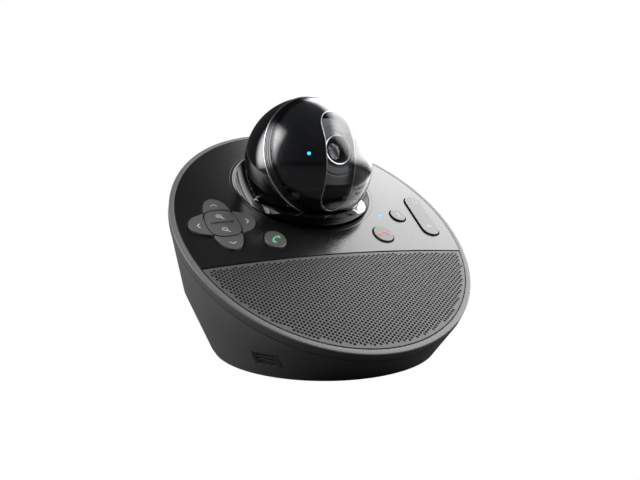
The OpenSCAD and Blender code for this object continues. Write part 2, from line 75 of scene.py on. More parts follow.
DECK = Matrix.Translation((0, RIM_Y, RIM_Z)) @ Matrix.Rotation(DECK_TILT, 4, "X")
PAN = Matrix.Translation((0, BALL.y, 0)) @ Matrix.Rotation(HEAD_TURN, 4, "Z")
HEAD = Matrix.Translation(BALL) @ Matrix.Rotation(HEAD_TURN, 4, "Z")
BALL_ON_DECK = DECK.inverted() @ BALL


def looking(up_degrees):
    """Place on the ball's centre whose Z looks out of the head, raised by up_degrees."""
    return HEAD @ Matrix.Rotation(radians(90 - up_degrees), 4, "X")


FACE = looking(11.5)
LENS = looking(10.6)


# ---------------------------------------------------------------- sizes and colours

def length(name, note, millimetres):
    return bpy.props.FloatProperty(name=name, description=note, default=millimetres * MM, unit="LENGTH")


class BaseSizes(bpy.types.PropertyGroup):
    band: length("Rim band", "Width of the rim's satin band", 2.65)
    wall: length("Wall", "Thickness of the lower shell", 2.4)
    column_pitch: length("Column pitch", "Distance between the grille's columns of holes", 1.41)
    row_pitch: length("Row pitch", "Distance between holes in one column", 1.85)
    hole: length("Hole radius", "Radius of a hole in the grille", 0.66)
    key_edge: length("Key edge", "Rounding of the keys' edges", 0.42)


class HeadSizes(bpy.types.PropertyGroup):
    shell: length("Shell radius", "Radius of the rear shell", 34.4)
    dome: length("Dome radius", "Radius of the clear dome", 34.8)
    mask: length("Mask radius", "Outer radius of the dark mask", 33.0)
    back: length("Ring back", "Trim ring's back edge ahead of the centre", 12.7)
    ring: length("Ring depth", "Depth of the ribbed trim ring", 4.4)
    ribs: bpy.props.IntProperty(name="Ribs", description="Fine ribs on the trim ring", default=4, min=1)
    window: length("Window", "Half width of the window in the mask", 8.0)
    lens_ring: length("Lens ring", "Radius of the bright lens ring", 7.6)
    carrier: length("Carrier radius", "Radius of the curved lens carrier", 30.6)


def shade(name, note, value):
    return bpy.props.FloatVectorProperty(name=name, description=note, default=value, size=3,
                                         subtype="COLOR", min=0, max=1)


class Colours(bpy.types.PropertyGroup):
    charcoal: shade("Charcoal", "Lower shell", (0.105, 0.105, 0.109))
    rim: shade("Rim", "Satin rim ring", (0.165, 0.165, 0.168))
    deck: shade("Deck", "Gloss deck panel", (0.0065, 0.0065, 0.0075))
    grille: shade("Grille", "Perforated grille", (0.105, 0.105, 0.108))
    key: shade("Key", "Key caps", (0.120, 0.120, 0.123))
    head: shade("Head", "Gloss head shell and foot", (0.004, 0.004, 0.005))
    bright: shade("Bright", "Trim ring and lens ring", (0.78, 0.78, 0.80))
    carrier: shade("Carrier", "Lens carrier", (0.110, 0.110, 0.114))
    mark: shade("Mark", "Key symbols", (0.62, 0.62, 0.62))
    answer: shade("Answer", "Call symbol", (0.20, 0.62, 0.26))
    end: shade("End", "Hang-up symbol", (0.70, 0.13, 0.10))
    light: shade("Light", "Status lights", (0.02, 0.42, 0.85))


# ---------------------------------------------------------------- finishes

def put(node, values):
    """Sets a node's inputs from a dictionary of names and values."""
    for name, value in values.items():
        node.inputs[name].default_value = value


def by_ray(tree, ray, usual, special, out):
    """Gives one kind of ray its own shader, and every other ray the usual one."""
    path, pick = tree.nodes.new("ShaderNodeLightPath"), tree.nodes.new("ShaderNodeMixShader")
    tree.links.new(path.outputs[ray], pick.inputs[0])
    tree.links.new(usual.outputs[0], pick.inputs[1])
    tree.links.new(special.outputs[0], pick.inputs[2])
    tree.links.new(pick.outputs[0], tree.nodes[out].inputs["Surface"])


def group_socket(tree, name, way, kind="NodeSocketFloat", value=None):
    s = tree.interface.new_socket(name=name, in_out=way, socket_type=kind)
    if value is not None:
        s.default_value = value


def moulded_grain():
    """Fine spark-eroded grain: a height, and a value that drifts slowly over the surface."""
    tree = bpy.data.node_groups.get("Moulded grain")
    if tree:
        return tree
    tree = bpy.data.node_groups.new("Moulded grain", "ShaderNodeTree")
    group_socket(tree, "Grain", "INPUT", value=2500.0)
    group_socket(tree, "Drift", "INPUT", value=35.0)
    group_socket(tree, "Height", "OUTPUT")
    group_socket(tree, "Tone", "OUTPUT")
    n, link = tree.nodes.new, tree.links.new
    given, out = n("NodeGroupInput"), n("NodeGroupOutput")
    where = n("ShaderNodeTexCoord")
    grain, drift = n("ShaderNodeTexNoise"), n("ShaderNodeTexNoise")
    grain.inputs["Detail"].default_value = 3
    drift.inputs["Detail"].default_value = 4
    link(where.outputs["Object"], grain.inputs["Vector"])
    link(where.outputs["Object"], drift.inputs["Vector"])
    link(given.outputs["Grain"], grain.inputs["Scale"])
    link(given.outputs["Drift"], drift.inputs["Scale"])
    link(grain.outputs["Fac"], out.inputs["Height"])
    link(drift.outputs["Fac"], out.inputs["Tone"])
    return tree


def settled_dust():
    """Very thin dust that lies on faces that look up, broken by noise."""
    tree = bpy.data.node_groups.get("Settled dust")
    if tree:
        return tree
    tree = bpy.data.node_groups.new("Settled dust", "ShaderNodeTree")
    group_socket(tree, "Colour", "INPUT", "NodeSocketColor", (0.5, 0.5, 0.5, 1))
    group_socket(tree, "Amount", "INPUT", value=0.02)
    group_socket(tree, "Colour", "OUTPUT", "NodeSocketColor")
    group_socket(tree, "Mask", "OUTPUT")
    n, link = tree.nodes.new, tree.links.new
    given, out = n("NodeGroupInput"), n("NodeGroupOutput")
    where, specks = n("ShaderNodeTexCoord"), n("ShaderNodeTexNoise")
    put(specks, {"Scale": 900, "Detail": 5})
    split, up, mask = n("ShaderNodeSeparateXYZ"), n("ShaderNodeMath"), n("ShaderNodeMath")
    up.operation = mask.operation = "MULTIPLY"
    up.use_clamp = mask.use_clamp = True
    blend = n("ShaderNodeMix")
    blend.data_type = "RGBA"
    blend.inputs["B"].default_value = (0.55, 0.54, 0.52, 1)
    link(where.outputs["Object"], specks.inputs["Vector"])
    link(where.outputs["Normal"], split.inputs["Vector"])
    link(split.outputs["Z"], up.inputs[0])
    link(specks.outputs["Fac"], up.inputs[1])
    link(up.outputs[0], mask.inputs[0])
    link(given.outputs["Amount"], mask.inputs[1])
    link(mask.outputs[0], blend.inputs["Factor"])
    link(given.outputs["Colour"], blend.inputs["A"])
    link(blend.outputs["Result"], out.inputs["Colour"])
    link(mask.outputs[0], out.inputs["Mask"])
    return tree


TONE_DRIFT = 35.0
ROUGH_DRIFT = 0.08


def finish(name, colour, rough, metal=0.0, grain=2500.0, depth=0.00002, tone=0.12, coat=0.0,
           coat_rough=0.05, dust=0.02, glow=None, glow_power=0.0):
    """A material: its colour and roughness drift over the surface, with grain and a little dust."""
    if name in bpy.data.materials:
        return bpy.data.materials[name]
    m = bpy.data.materials.new(name)
    m.use_nodes = True
    n, link = m.node_tree.nodes.new, m.node_tree.links.new
    shader = m.node_tree.nodes["Principled BSDF"]
    put(shader, {"Metallic": metal, "Coat Weight": coat, "Coat Roughness": coat_rough})
    surface = n("ShaderNodeGroup")
    surface.node_tree = moulded_grain()
    put(surface, {"Grain": grain, "Drift": TONE_DRIFT})
    tint = n("ShaderNodeMapRange")
    put(tint, {"To Min": 1 - tone, "To Max": 1 + tone})
    link(surface.outputs["Tone"], tint.inputs["Value"])
    toned = n("ShaderNodeMix")
    toned.data_type = "RGBA"
    toned.blend_type = "MULTIPLY"
    put(toned, {"Factor": 1, "A": (*colour, 1)})
    link(tint.outputs["Result"], toned.inputs["B"])
    dusty = n("ShaderNodeGroup")
    dusty.node_tree = settled_dust()
    dusty.inputs["Amount"].default_value = dust
    link(toned.outputs["Result"], dusty.inputs["Colour"])
    link(dusty.outputs["Colour"], shader.inputs["Base Color"])
    worn = n("ShaderNodeMapRange")
    put(worn, {"To Min": rough * (1 - ROUGH_DRIFT), "To Max": rough * (1 + ROUGH_DRIFT)})
    link(surface.outputs["Tone"], worn.inputs["Value"])
    link(worn.outputs["Result"], shader.inputs["Roughness"])
    if depth:
        bump = n("ShaderNodeBump")
        put(bump, {"Strength": 0.5, "Distance": depth})
        link(surface.outputs["Height"], bump.inputs["Height"])
        link(bump.outputs["Normal"], shader.inputs["Normal"])
    if glow:
        put(shader, {"Emission Color": (*glow, 1), "Emission Strength": glow_power})
    return m


def clear_plastic(name, tint=(0.93, 0.94, 0.95), ior=1.49):
    """Clear moulding with very faint wipe marks in its gloss."""
    if name in bpy.data.materials:
        return bpy.data.materials[name]
    m = bpy.data.materials.new(name)
    m.use_nodes = True
    n, link = m.node_tree.nodes.new, m.node_tree.links.new
    shader = m.node_tree.nodes["Principled BSDF"]
    put(shader, {"Base Color": (*tint, 1), "Transmission Weight": 1, "IOR": ior})
    where, marks, rough = n("ShaderNodeTexCoord"), n("ShaderNodeTexNoise"), n("ShaderNodeMapRange")
    marks.inputs["Scale"].default_value = 60
    put(rough, {"To Min": 0.0, "To Max": 0.012})
    link(where.outputs["Object"], marks.inputs["Vector"])
    link(marks.outputs["Fac"], rough.inputs["Value"])
    link(rough.outputs["Result"], shader.inputs["Roughness"])
    through = n("ShaderNodeBsdfTransparent")
    through.inputs["Color"].default_value = (*tint, 1)
    by_ray(m.node_tree, "Is Shadow Ray", shader, through, "Material Output")
    return m


def coloured(name, colour, rough, **more):
    """A finish in one of the panel's colours."""
    return finish(name, getattr(bpy.context.scene.camera_colours, colour), rough, **more)


def charcoal():
    return coloured("Charcoal satin", "charcoal", 0.46, grain=3200, depth=0.000008, dust=0.004)


def rim_satin():
    return coloured("Rim satin", "rim", 0.46, grain=4200, depth=0.000003, dust=0.002)


def deck_gloss():
    return coloured("Deck gloss", "deck", 0.26, depth=0, coat=0.6, coat_rough=0.17, dust=0.0005, tone=0.2)


def grille_paint():
    return coloured("Grille paint", "grille", 0.5, metal=0.1, grain=6000, depth=0.000002, dust=0.001)


def key_satin():
    return coloured("Key satin", "key", 0.36, grain=5200, depth=0.000003, dust=0.001, coat=0.25,
                    coat_rough=0.3)


def head_gloss():
    return coloured("Head gloss", "head", 0.09, grain=4000, depth=0.000002, coat=1.0, coat_rough=0.02,
                    dust=0.002, tone=0.2)


def bright_metal():
    return coloured("Bright trim", "bright", 0.26, metal=1.0, grain=6000, depth=0.000004, dust=0.0,
                    tone=0.05)


def carrier_satin():
    return coloured("Carrier satin", "carrier", 0.4, grain=4800, depth=0.00001, dust=0.0)


def coated_glass():
    return clear_plastic("Coated glass", (0.86, 0.80, 0.95), 1.6)


def cavity_black():
    return finish("Cavity black", (0.006, 0.006, 0.006), 0.7, grain=2500, depth=0.00002, dust=0.0)


def lit_blue():
    c = bpy.context.scene.camera_colours
    return finish("Lit blue", (0.05, 0.3, 0.6), 0.3, glow=c.light, glow_power=2.6, dust=0, depth=0)


# ---------------------------------------------------------------- making pieces

def piece(name, bm, body, material, stands_for=(), sharp=32):
    """Turns a bmesh into a piece of the object that rides on a body."""
    mesh = bpy.data.meshes.new(name)
    bm.to_mesh(mesh)
    bm.free()
    mesh.shade_smooth()
    mesh.set_sharp_from_angle(angle=radians(sharp))
    mesh.materials.append(material)
    made = bpy.data.objects.new(name, mesh)
    bpy.context.scene.collection.objects.link(made)
    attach(made, body)
    if stands_for:
        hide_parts(*stands_for)
    return made


def loose(name, bm):
    """Turns a bmesh into an object that isn't a piece: a cutter or the floor."""
    mesh = bpy.data.meshes.new(name)
    bm.to_mesh(mesh)
    bm.free()
    made = bpy.data.objects.new(name, mesh)
    bpy.context.scene.collection.objects.link(made)
    return made


def pierced(made, cutters, material):
    """Cuts the cutters out of a piece for good and removes them."""
    for cutter in cutters:
        cut = made.modifiers.new("Opening", "BOOLEAN")
        cut.solver = "EXACT"
        cut.object = cutter
    solid = bpy.data.meshes.new_from_object(made.evaluated_get(bpy.context.evaluated_depsgraph_get()))
    solid.materials.clear()
    solid.materials.append(material)
    made.modifiers.clear()
    made.data = solid
    for cutter in cutters:
        bpy.data.objects.remove(cutter)


def walled(made, thickness):
    """Gives an open skin a wall on its inner side, in mm."""
    wall = made.modifiers.new("Wall", "SOLIDIFY")
    wall.thickness = thickness * MM
    wall.offset = -1


def rounded(made, width, segments, angle):
    """Rounds the edges sharper than angle."""
    soften = made.modifiers.new("Edge", "BEVEL")
    soften.width = width
    soften.segments = segments
    soften.limit_method = "ANGLE"
    soften.angle_limit = radians(angle)
    soften.harden_normals = True


def verts_of(geom):
    return [g for g in geom if isinstance(g, bmesh.types.BMVert)]


def cut_off(bm, spot, out, clear=True):
    """Cuts on the plane through spot and clears what lies on its out side."""
    bmesh.ops.bisect_plane(bm, geom=list(bm.verts) + list(bm.edges) + list(bm.faces), dist=MERGE,
                           plane_co=spot, plane_no=out, clear_outer=clear)


def swept(bm, points, radius, smooth, closed=False):
    """Adds a round rod along points in mm, with flat ends unless it closes on itself."""
    curve = bpy.data.curves.new("Rod", "CURVE")
    curve.dimensions = "3D"
    curve.bevel_depth = radius * MM
    curve.bevel_resolution = smooth
    curve.use_fill_caps = not closed
    line = curve.splines.new("POLY")
    line.points.add(len(points) - 1)
    for spot, (x, y, z) in zip(line.points, points):
        spot.co = (x * MM, y * MM, z * MM, 1)
    line.use_cyclic_u = closed
    holder = bpy.data.objects.new("Rod", curve)
    mesh = bpy.data.meshes.new_from_object(holder)
    bm.from_mesh(mesh)
    bpy.data.objects.remove(holder)
    bpy.data.curves.remove(curve)
    bpy.data.meshes.remove(mesh)


def turned(profile, place, steps=96, angle=2 * pi):
    """A bmesh spun about Z from (radius, height) pairs in mm, then put in place."""
    bm = bmesh.new()
    verts = [bm.verts.new((r * MM, 0, h * MM)) for r, h in profile]
    edges = [bm.edges.new(pair) for pair in zip(verts, verts[1:])]
    bmesh.ops.spin(bm, geom=verts + edges, cent=(0, 0, 0), axis=(0, 0, 1), angle=angle, steps=steps,
                   use_merge=True)
    bmesh.ops.remove_doubles(bm, verts=bm.verts, dist=MERGE)
    bmesh.ops.recalc_face_normals(bm, faces=bm.faces)
    bmesh.ops.transform(bm, matrix=place, verts=bm.verts)
    return bm


def arc(radius, start, end, count, centre=(0, 0)):
    """Points on an arc in mm, from start to end in degrees above the first axis."""
    return [(centre[0] + radius * cos(radians(start + (end - start) * i / (count - 1))),
             centre[1] + radius * sin(radians(start + (end - start) * i / (count - 1))))
            for i in range(count)]


def oval_loop(bm, a, b, place, segments):
    """The vertices of one oval, in order round it."""
    loop = bmesh.ops.create_circle(bm, segments=segments, radius=1.0)["verts"]
    bmesh.ops.scale(bm, vec=(a, b, 1), verts=loop)
    bmesh.ops.transform(bm, matrix=place, verts=loop)
    return loop


def lofted(rings, segments=192, closed=True):
    """Joins ovals (a, b, place) one to the next, and the last to the first if closed."""
    bm = bmesh.new()
    loops = [oval_loop(bm, a, b, place, segments) for a, b, place in rings]
    for lower, upper in list(zip(loops, loops[1:])) + ([(loops[-1], loops[0])] if closed else []):
        for i in range(segments):
            k = (i + 1) % segments
            bm.faces.new((lower[i], lower[k], upper[k], upper[i]))
    bmesh.ops.recalc_face_normals(bm, faces=bm.faces)
    return bm


def softened(node, name, material, edge, body, segments=3, keep_sharp=40):
    """A merged copy of a CAD node with its edges rounded, standing for that node."""
    bm = bmesh.new()
    bm.from_mesh(frame["nodes"][node].data)
    bmesh.ops.remove_doubles(bm, verts=bm.verts, dist=2e-6)
    bmesh.ops.dissolve_limit(bm, angle_limit=radians(1), verts=bm.verts, edges=bm.edges)
    made = piece(name, bm, body, material, (node,), keep_sharp)
    rounded(made, edge, segments, 40)
    return made


def strokes(name, lines, place, body, material, flat=0.35):
    """Low-relief symbol of round-ended strokes: (points, radius) in mm on a surface's plane."""
    bm = bmesh.new()
    for points, radius in lines:
        swept(bm, [(x, y, 0) for x, y in points], radius, 1)
        for x, y in (points[0], points[-1]):
            ball = bmesh.ops.create_icosphere(bm, subdivisions=1, radius=radius * MM * 0.98)["verts"]
            bmesh.ops.translate(bm, vec=(x * MM, y * MM, 0), verts=ball)
    bmesh.ops.scale(bm, vec=(1, 1, flat), verts=bm.verts)
    bmesh.ops.transform(bm, matrix=place, verts=bm.verts)
    return piece(name, bm, body, material, (), 60)


def on_deck(x, up, lift=0.0, turn=0.0):
    """Place on the deck: across and up the slope in mm, lifted off it, turned in its plane."""
    return DECK @ Matrix.Translation((x * MM, up * MM, lift * MM)) @ Matrix.Rotation(radians(turn), 4, "Z")


# ---------------------------------------------------------------- the base

SHELL_TOP = -4.8 * MM
SHELL_FLOOR = 0.6
SHELL_TOP_OVAL = (76.2, 88.4)
OPEN_TOP = 6 * MM
SHARP = 32


def shell_levels():
    """Ovals up the shell in mm: half width, half depth, lean in degrees, middle and height."""
    top = DECK @ Vector((0, 0, SHELL_TOP))
    return ((57.0, 57.0, 0, -4.2, SHELL_FLOOR), (58.5, 58.5, 0, -4.2, 2.9), (59.4, 59.4, 0, -4.2, 11.6),
            (70.8, 72.7, 13, -2.5, 31.0), (*SHELL_TOP_OVAL, degrees(DECK_TILT), top.y / MM, top.z / MM))


def shell_form(inset, raised):
    """The hull of the shell's levels, moved in by inset and cut on the plane under the rim."""
    bm = bmesh.new()
    for wide, deep, lean, middle, height in shell_levels():
        lift = inset if height == SHELL_FLOOR else 0
        place = Matrix.Translation((0, middle * MM, height * MM + lift)) @ \
            Matrix.Rotation(radians(lean), 4, "X")
        oval_loop(bm, wide * MM - inset, deep * MM - inset, place, 160)
    top_place = DECK @ Matrix.Translation((0, 0, SHELL_TOP + raised))
    oval_loop(bm, SHELL_TOP_OVAL[0] * MM - inset, SHELL_TOP_OVAL[1] * MM - inset, top_place, 160)
    bmesh.ops.convex_hull(bm, input=bm.verts)
    bmesh.ops.delete(bm, geom=[v for v in bm.verts if not v.link_faces], context="VERTS")
    bmesh.ops.delete(bm, geom=[e for e in bm.edges if not e.link_faces], context="EDGES_FACES")
    if not raised:
        cut_off(bm, DECK @ Vector((0, 0, SHELL_TOP)), DECK_UP)
        bmesh.ops.contextual_create(bm, geom=[e for e in bm.edges if e.is_boundary])
    bmesh.ops.recalc_face_normals(bm, faces=bm.faces)
    return bm


PORT_REACH = 30 * MM


class OBJECT_OT_lower_shell(bpy.types.Operator):
    """Make the charcoal lower shell with its ports and vent cut through"""
    bl_idname = "camera_base.lower_shell"
    bl_label = "Lower shell"

    def execute(self, context):
        sizes = context.scene.base_sizes
        made = piece("Lower_shell", shell_form(0.0, 0.0), "base", charcoal(), ("lower_shell",),
                     SHARP)
        cutters = [loose("Cutter", shell_form(sizes.wall, OPEN_TOP))]
        for node, grow in (("power_jack", 0.25), ("data_socket", 0.25), ("audio_jack", 0.25),
                           ("mic_vent", 0.0)):
            cutters.append(self.cutter(node, grow * MM))
        pierced(made, cutters, charcoal())
        made.data.set_sharp_from_angle(angle=radians(SHARP))
        return {"FINISHED"}

    def cutter(self, node, grow):
        low, high = (Vector(c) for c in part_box(node))
        centre = (low + high) / 2
        bm = bmesh.new()
        if node == "mic_vent":
            bmesh.ops.create_cube(bm, size=1)
            bmesh.ops.scale(bm, vec=(7.8 * MM, 12.8 * MM, 12 * MM), verts=bm.verts)
            turn = Matrix.Rotation(radians(219.2), 4, "Z") @ Matrix.Rotation(radians(122.7), 4, "Y")
            bmesh.ops.transform(bm, matrix=Matrix.Translation(centre) @ turn, verts=bm.verts)
        elif node == "data_socket":
            bmesh.ops.create_cube(bm, size=1)
            bmesh.ops.scale(bm, vec=(high.x - low.x + 2 * grow, PORT_REACH, high.z - low.z + 2 * grow),
                            verts=bm.verts)
            bmesh.ops.translate(bm, vec=(centre.x, high.y, centre.z), verts=bm.verts)
        else:
            r = (high.x - low.x) / 2 + grow
            bmesh.ops.create_cone(bm, segments=40, radius1=r, radius2=r, depth=PORT_REACH, cap_ends=True)
            bmesh.ops.rotate(bm, cent=(0, 0, 0), matrix=Matrix.Rotation(pi / 2, 3, "X"), verts=bm.verts)
            bmesh.ops.translate(bm, vec=(centre.x, high.y, centre.z), verts=bm.verts)
        return loose("Cutter", bm)


class OBJECT_OT_rim_ring(bpy.types.Operator):
    """Make the satin ring round the sloping deck"""
    bl_idname = "camera_base.rim_ring"
    bl_label = "Rim ring"

    def execute(self, context):
        band, high = context.scene.base_sizes.band / MM, RIM_H / MM
        top = [(0, -0.55), (0, -0.45), (0.08, -0.18), (0.28, -0.03), (0.5, 0.0), (band - 0.45, 0.0),
               (band - 0.15, -0.06), (band, -0.25), (band, -1.9), (0.3, -1.9), (0.3, -0.55)]
        wall = [(5.0, -high), (0.5, -high), (0.15, -high + 0.12), (0, -high + 0.4), (0, -0.56), (2.0, -0.56),
                (2.0, -2.0), (5.0, -2.0)]
        self.ring("Rim_ring", top, rim_satin(), ("rim_ring",), "rim_satin")
        self.ring("Rim_wall", wall, charcoal(), (), "shell_charcoal")
        return {"FINISHED"}

    def ring(self, name, profile, material, stands_for, slot):
        rings = [(RIM_A - i * MM, RIM_B - i * MM, DECK @ Matrix.Translation((0, 0, h * MM)))
                 for i, h in profile]
        piece(name, lofted(rings, 224), "base", material, stands_for, 40)


class OBJECT_OT_deck_panel(bpy.types.Operator):
    """Make the gloss deck panel with softened openings"""
    bl_idname = "camera_base.deck_panel"
    bl_label = "Deck panel"

    def execute(self, context):
        softened("deck_panel", "Deck_panel", deck_gloss(), 0.22 * MM, "base")
        return {"FINISHED"}


SHEET = 0.2 * MM
GRILLE_INSET = 3.05 * MM


class OBJECT_OT_grille(bpy.types.Operator):
    """Make the speaker grille as one sheet of punched cells"""
    bl_idname = "camera_base.grille"
    bl_label = "Speaker grille"

    def execute(self, context):
        sizes = context.scene.base_sizes
        across, along, r = sizes.column_pitch, sizes.row_pitch, sizes.hole
        a, b = RIM_A - GRILLE_INSET, RIM_B - GRILLE_INSET
        arc_top, arc_r = -27.35 * MM, 597 * MM
        margin = 1.5 * MM
        bm = bmesh.new()
        hole_cell, solid_cell = self.cells(bm, across, along, r)
        columns, rows = int(a / across) + 1, int(b / along) + 1
        for c in range(-columns, columns + 1):
            for row in range(-rows, 1):
                x, v = c * across, (row + (0.5 if c % 2 else 0)) * along
                if (x / (a + across)) ** 2 + (v / (b + along)) ** 2 > 1:
                    continue
                edge_v = arc_top - arc_r + sqrt(arc_r ** 2 - x * x)
                if v > edge_v + along:
                    continue
                punched = v < edge_v - margin and \
                    (x / (a - margin)) ** 2 + (v / (b - margin)) ** 2 < 1
                copy = bmesh.ops.duplicate(bm, geom=hole_cell if punched else solid_cell)["geom"]
                bmesh.ops.translate(bm, vec=(x, v, 0),
                                    verts=verts_of(copy))
        bmesh.ops.delete(bm, geom=verts_of(hole_cell + solid_cell), context="VERTS")
        bmesh.ops.remove_doubles(bm, verts=bm.verts, dist=across * 0.02)
        for i in range(150):
            turn = 2 * pi * i / 150
            spot = Vector((a * cos(turn), b * sin(turn), 0))
            if spot.y > arc_top + 9 * MM:
                continue
            out = Vector((cos(turn) / a, sin(turn) / b, 0)).normalized()
            cut_off(bm, spot, out)
        for i in range(-12, 13):
            x = a * i / 12
            cut_off(bm, Vector((x, arc_top - arc_r + sqrt(arc_r ** 2 - x * x), 0)),
                    Vector((x, sqrt(arc_r ** 2 - x * x), 0)).normalized())
        raised = bmesh.ops.extrude_face_region(bm, geom=list(bm.faces))["geom"]
        bmesh.ops.translate(bm, vec=(0, 0, -SHEET), verts=verts_of(raised))
        bmesh.ops.recalc_face_normals(bm, faces=bm.faces)
        bmesh.ops.transform(bm, matrix=DECK @ Matrix.Translation((0, 0, 0.1 * MM)), verts=bm.verts)
        piece("Speaker_grille", bm, "base", grille_paint(), ("speaker_grille",), 40)
        self.backing(arc_top, a, b)
        return {"FINISHED"}

    def cells(self, bm, across, along, r):
        """A six-sided cell with a round hole, and the same cell left whole."""
        corners = []
        half, slant = along / 2, along / 2 - (across * across / along) / 2
        reach = (across * across + along * along / 4) / (2 * across)
        for x, y in ((reach, 0), (across - reach, half), (reach - across, half), (-reach, 0),
                     (reach - across, -half), (across - reach, -half)):
            corners.append(Vector((x, y, 0)))
        outline = []
        for p, q in zip(corners, corners[1:] + corners[:1]):
            outline += [p, (p + q) / 2]
        outer = [bm.verts.new(p) for p in outline]
        inner = [bm.verts.new(p.normalized() * r) for p in outline]
        rim = [bm.edges.new(pair) for pair in zip(outer, outer[1:] + outer[:1])]
        hole = [bm.edges.new(pair) for pair in zip(inner, inner[1:] + inner[:1])]
        ring = bmesh.ops.bridge_loops(bm, edges=rim + hole)["faces"]
        hole_cell = outer + inner + rim + hole + ring
        hole_cell += [e for f in ring for e in f.edges if e not in rim and e not in hole]
        whole = [bm.verts.new(p) for p in outline]
        face = bm.faces.new(whole)
        return list(dict.fromkeys(hole_cell)), whole + list(face.edges) + [face]

    def backing(self, arc_top, a, b):
        """Dark acoustic cloth a little under the sheet."""
        rings = [(a - 0.4 * MM, b - 0.4 * MM, DECK @ Matrix.Translation((0, 0, h * MM)))
                 for h in (-1.5, -1.9)]
        bm = lofted(rings, 128, closed=False)
        for _ in rings:
            start = next(e for e in bm.edges if e.is_boundary)
            bmesh.ops.contextual_create(bm, geom=self.loop_of(start))
        cut_off(bm, DECK @ Vector((0, arc_top, 0)), DECK.to_3x3() @ Vector((0, 1, 0)))
        bmesh.ops.contextual_create(bm, geom=[e for e in bm.edges if e.is_boundary])
        bmesh.ops.recalc_face_normals(bm, faces=bm.faces)
        piece("Acoustic_cloth", bm, "base", cavity_black(), (), 40)

    def loop_of(self, start):
        found, edge, at = [start], start, start.verts[1]
        while True:
            step = [e for e in at.link_edges if e.is_boundary and e is not edge]
            if not step or step[0] is start:
                return found
            edge = step[0]
            at = edge.other_vert(at)
            found.append(edge)


# ---------------------------------------------------------------- keys

KEY_TOP = 1.0


def chevron(x, y, point_x, point_y, size=1.55, r=0.22):
    """Two strokes that meet at a point on the side the chevron faces."""
    side = Vector((-point_y, point_x)).normalized() * size
    tip = Vector((x + point_x * size * 0.32, y + point_y * size * 0.32))
    tail = Vector((x - point_x * size * 0.45, y - point_y * size * 0.45))
    return [([tuple(tail + side), tuple(tip)], r), ([tuple(tip), tuple(tail - side)], r)]


def circle_points(x, y, r, count=20, start=0, sweep=360):
    return [(x + r * cos(radians(start + sweep * i / count)), y + r * sin(radians(start + sweep * i / count)))
            for i in range(count + 1)]


def magnifier(x, y, plus):
    lines = [(circle_points(x - 0.35, y + 0.3, 1.25), 0.16),
             ([(x + 0.6, y - 0.7), (x + 1.9, y - 1.9)], 0.2),
             ([(x - 0.95, y + 0.3), (x + 0.25, y + 0.3)], 0.14)]
    if plus:
        lines.append(([(x - 0.35, y - 0.3), (x - 0.35, y + 0.9)], 0.14))
    return lines


def handset(turn):
    """A plain telephone receiver: a bowed grip with two thick ends."""
    lines = [(circle_points(0, -3.1, 3.9, 12, 48, 84), 0.4)]
    for s in (-1, 1):
        lines.append(([(s * 2.55, -0.25), (s * 2.15, -1.15)], 0.62))
    spin = Matrix.Rotation(radians(turn), 2)
    return [([tuple(spin @ Vector(p)) for p in pts], r) for pts, r in lines]


def speaker_mark(x, y, waves):
    lines = [([(x - 1.3, y - 0.45), (x - 1.3, y + 0.45)], 0.2),
             ([(x - 0.9, y - 0.45), (x - 0.1, y - 1.15), (x - 0.1, y + 1.15), (x - 0.9, y + 0.45)], 0.2)]
    for i in range(waves):
        lines.append((circle_points(x - 0.3, y, 1.15 + 0.75 * i, 8, -38, 76), 0.15))
    return lines


class OBJECT_OT_keys(bpy.types.Operator):
    """Make the key caps with rounded edges and their plain symbols"""
    bl_idname = "camera_base.keys"
    bl_label = "Keys"

    def execute(self, context):
        edge = context.scene.base_sizes.key_edge
        c = context.scene.camera_colours
        # The symbol finishes carry a faint emission: a painted glow that makes the printed marks read brighter
        # than the lamps alone would make them
        white = finish("Symbol white", c.mark, 0.5, dust=0, depth=0, glow=c.mark, glow_power=0.3)
        green = finish("Symbol green", c.answer, 0.5, dust=0, depth=0, glow=c.answer, glow_power=0.25)
        red = finish("Symbol red", c.end, 0.5, dust=0, depth=0, glow=c.end, glow_power=0.25)
        for node in ("pad_up", "pad_down", "pad_left", "pad_right", "zoom_rocker", "call_key",
                     "hangup_key", "mute_key", "volume_rocker"):
            softened(node, node.capitalize(), key_satin(), edge, node, 4)
        flat = on_deck(0, 0, KEY_TOP)
        for node, x, y, px, py in (("pad_up", -54, 14, 0, 1), ("pad_down", -51, -15.5, 0, -1),
                                   ("pad_left", -64.5, -2, -1, 0), ("pad_right", -40, 0.5, 1, 0)):
            strokes(node.capitalize() + "_chevron", chevron(x, y, px, py), flat, node, white)
        strokes("Zoom_in_symbol", magnifier(-53, 4.7, True), flat, "zoom_rocker", white)
        strokes("Zoom_out_symbol", magnifier(-52.2, -5.5, False), flat, "zoom_rocker", white)
        strokes("Call_symbol", handset(48), on_deck(-30, -14.2, KEY_TOP), "call_key", green)
        strokes("Hangup_symbol", handset(0), on_deck(30, -14.2, KEY_TOP), "hangup_key", red)
        strokes("Mute_symbol", self.crossed_microphone(), on_deck(46.8, 1, KEY_TOP), "mute_key", white)
        strokes("Volume_up_symbol", speaker_mark(64, 12.5, 2), flat, "volume_rocker", white)
        strokes("Volume_down_symbol", speaker_mark(61.5, -10, 1), flat, "volume_rocker", white)
        return {"FINISHED"}

    def crossed_microphone(self):
        return [([(0, 0.1), (0, 1.3)], 0.5),
                (circle_points(0, 0.2, 1.05, 10, 180, 180), 0.14),
                ([(0, -0.85), (0, -1.6)], 0.14), ([(-0.6, -1.6), (0.6, -1.6)], 0.14),
                ([(-1.5, 1.5), (1.5, -1.5)], 0.14)]


# ---------------------------------------------------------------- dish and foot

